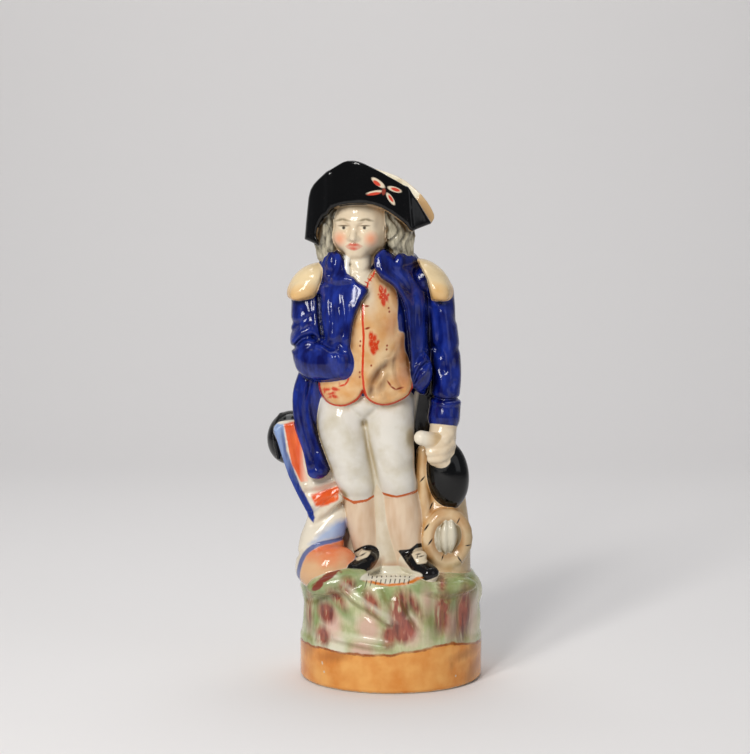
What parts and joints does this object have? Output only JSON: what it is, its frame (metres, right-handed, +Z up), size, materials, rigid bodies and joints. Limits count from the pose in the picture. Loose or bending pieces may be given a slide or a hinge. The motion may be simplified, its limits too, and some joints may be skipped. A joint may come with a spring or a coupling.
{
  "type": "pottery jug",
  "caption": "Hollow glazed pottery jug modelled as a standing naval officer on a grassy mound, with a cocked hat as its mouth and a loop handle behind.",
  "frame": {"origin": "centre of the flat underside of the mound, on the surface it stands on", "axes": "+Z up, the officer faces -Y, +X is the officer's left, and the handle is on the +Y side"},
  "size_m": [0.1231, 0.1185, 0.2955],
  "materials": {
    "glaze": "painted under a thick clear glaze, with fine crazing"
  },
  "bodies": {
    "root": {"jug": "glaze"}
  },
  "joints": []
}
